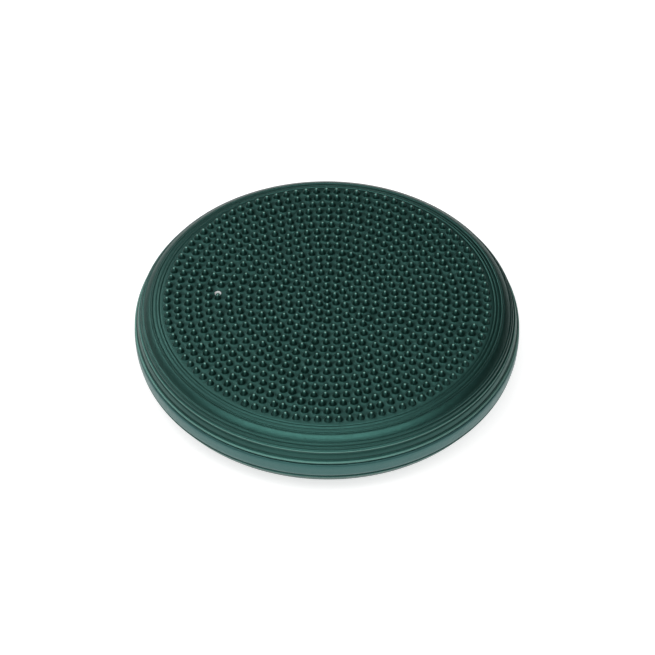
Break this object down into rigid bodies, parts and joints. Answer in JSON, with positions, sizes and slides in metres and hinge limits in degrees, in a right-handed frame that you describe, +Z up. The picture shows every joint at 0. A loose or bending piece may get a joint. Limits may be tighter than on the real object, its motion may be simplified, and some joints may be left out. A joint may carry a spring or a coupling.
{
  "type": "inflatable balance pad",
  "caption": "Round air-filled balance pad with a flat nubbed top, a beaded rim with a wide belt, a flat underside and a recessed needle valve with its plug.",
  "frame": {"origin": "on the floor under the middle of the round pad", "axes": "+Z up along the pad's own axis, out of the nubbed face; the valve is on the -X side"},
  "size_m": [0.33, 0.33, 0.0651],
  "materials": {
    "skin_vinyl": "satin dark-green moulded soft PVC with a fine grain",
    "valve_rubber": "matte off-white rubber",
    "plug_vinyl": "satin dark-green soft PVC"
  },
  "bodies": {
    "base": {"bottom_panel": "skin_vinyl", "lower_flank": "skin_vinyl"},
    "belt": {"side_belt": "skin_vinyl", "upper_flank": "skin_vinyl"},
    "rim": {"shoulder_ring": "skin_vinyl", "shoulder_web": "skin_vinyl"},
    "top": {"nub_panel": "skin_vinyl", "valve_pocket": "skin_vinyl", "valve_core": "valve_rubber"},
    "plug": {"valve_plug": "plug_vinyl"}
  },
  "joints": [
    {"name": "belt_tilt", "type": "hinge", "parent": "base", "child": "belt", "pos_m": [0, 0, 0.0154], "axis": [1, 0, 0], "range_deg": [-3.5, 3.5], "stiffness_Nm_per_rad": 350, "deforming": ["lower_flank"]},
    {"name": "rim_tilt", "type": "hinge", "parent": "belt", "child": "rim", "pos_m": [0, 0, 0.0454], "axis": [0, 1, 0], "range_deg": [-3.5, 3.5], "stiffness_Nm_per_rad": 350, "deforming": ["upper_flank"]},
    {"name": "top_press", "type": "slide", "parent": "rim", "child": "top", "axis": [0, 0, 1], "range_m": [-0.01, 0], "stiffness_N_per_m": 30000, "springref_m": 0.0005, "deforming": ["shoulder_web"]},
    {"name": "plug_pull", "type": "slide", "parent": "top", "child": "plug", "axis": [0, 0, 1], "range_m": [0, 0.016]}
  ]
}
